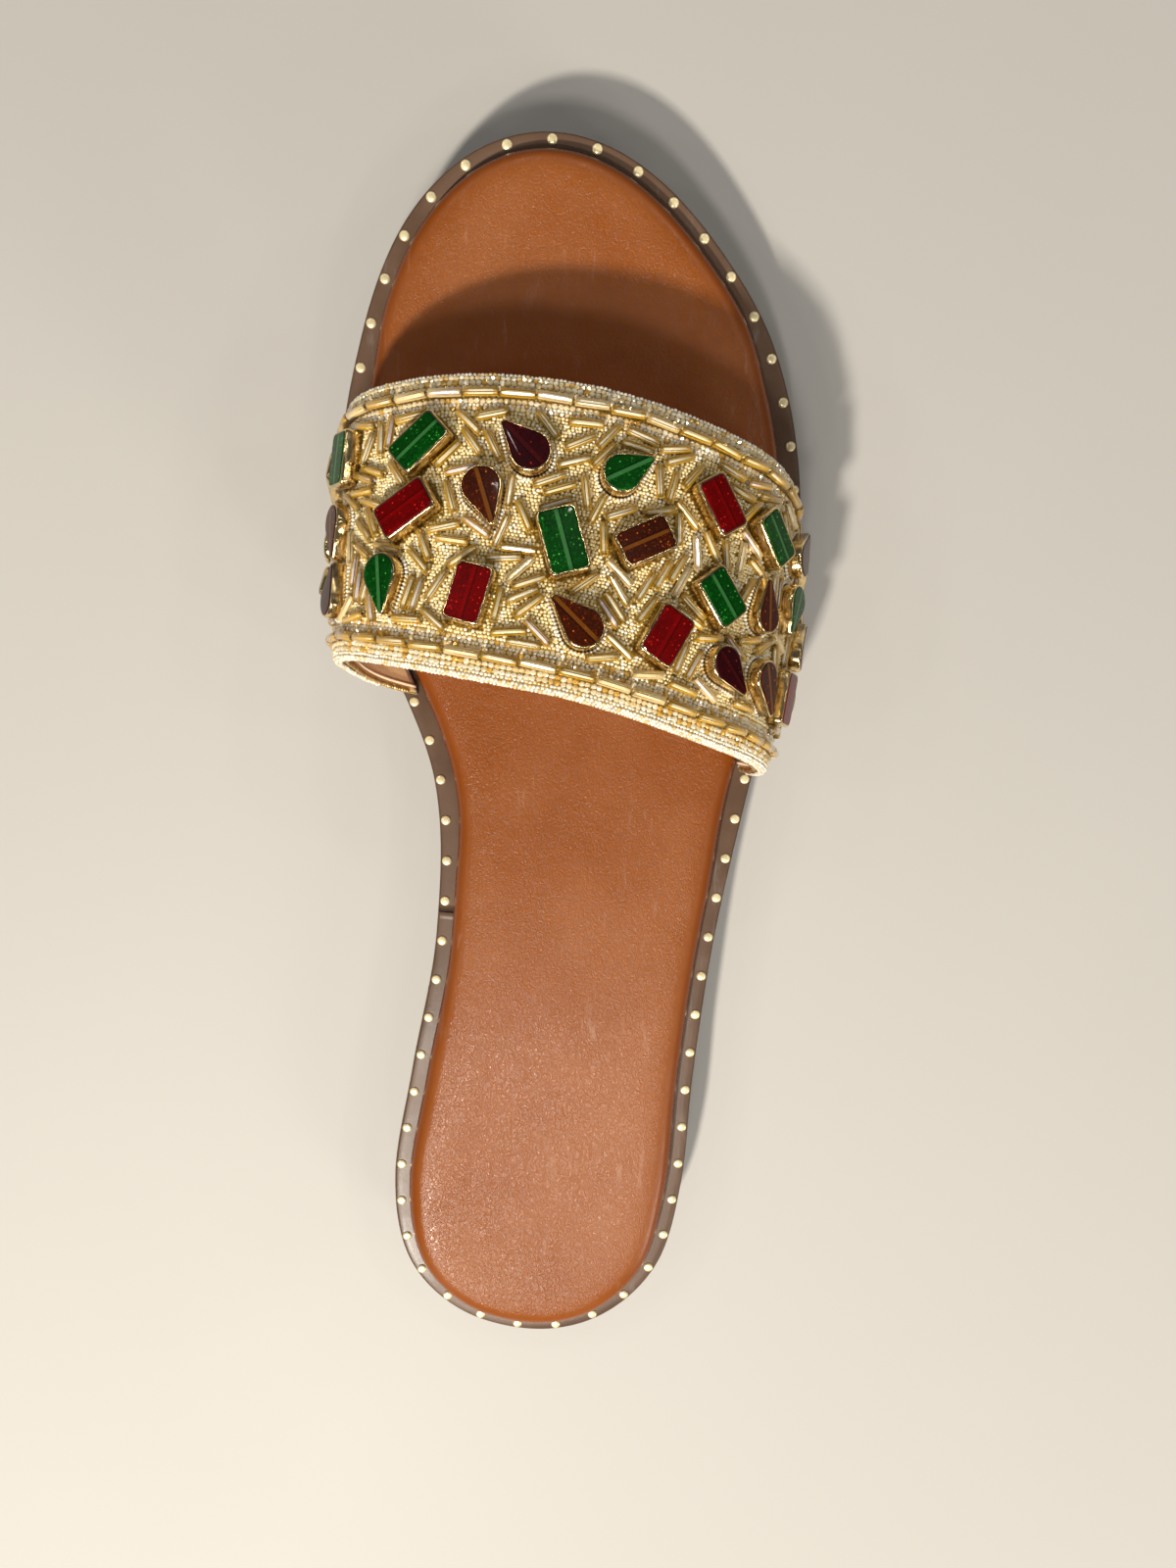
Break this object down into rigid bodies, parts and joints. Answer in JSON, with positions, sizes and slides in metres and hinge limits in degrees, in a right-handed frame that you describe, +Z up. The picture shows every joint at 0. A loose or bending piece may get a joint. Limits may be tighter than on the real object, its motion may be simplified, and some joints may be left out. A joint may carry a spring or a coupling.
{
  "type": "embellished flat slide sandal",
  "caption": "Flat slide sandal for the right foot: padded leather footbed, studded welt, low outsole and one wide beaded band set with coloured glass stones.",
  "frame": {"origin": "middle of the sandal in plan, on the floor", "axes": "+Y from heel to toe, +X towards the little-toe side of this right shoe, +Z up from the floor"},
  "size_m": [0.0958, 0.255, 0.0682],
  "materials": {
    "sole_rubber": "matt dark brown moulded sole",
    "welt_leather": "smooth taupe-brown leather strip with pale brass studs",
    "footbed_leather": "grained cognac leather with a soft sheen",
    "beaded_cloth": "cream and gold seed-bead ground, pale suede lining",
    "gold_beads": "silver-lined gold glass beads and small clear stones",
    "green_glass": "polished emerald-green glass with gold-coated sides",
    "red_glass": "polished ruby-red glass with gold-coated sides",
    "amber_glass": "polished amber-brown glass with gold-coated sides",
    "garnet_glass": "polished dark garnet glass with gold-coated sides"
  },
  "bodies": {
    "root": {"outsole": "sole_rubber", "welt": "welt_leather", "footbed": "footbed_leather", "upper": "beaded_cloth", "back_border": "gold_beads", "front_border": "gold_beads", "stone_green_1": "green_glass", "stone_garnet_1": "garnet_glass", "stone_green_2": "green_glass", "stone_red_1": "red_glass", "stone_green_3": "green_glass", "stone_red_2": "red_glass", "stone_amber_1": "amber_glass", "stone_green_4": "green_glass", "stone_amber_2": "amber_glass", "stone_green_5": "green_glass", "stone_amber_3": "amber_glass", "stone_green_6": "green_glass", "stone_red_3": "red_glass", "stone_amber_4": "amber_glass", "stone_red_4": "red_glass", "stone_garnet_2": "garnet_glass", "stone_amber_5": "amber_glass", "stone_green_7": "green_glass", "stone_amber_6": "amber_glass", "stone_garnet_3": "garnet_glass", "stone_garnet_4": "garnet_glass", "stone_green_8": "green_glass", "stone_amber_7": "amber_glass", "stone_red_5": "red_glass", "stone_red_6": "red_glass", "stone_green_9": "green_glass", "stone_amber_8": "amber_glass", "stone_green_10": "green_glass", "stone_red_7": "red_glass", "stone_garnet_5": "garnet_glass"}
  },
  "joints": []
}
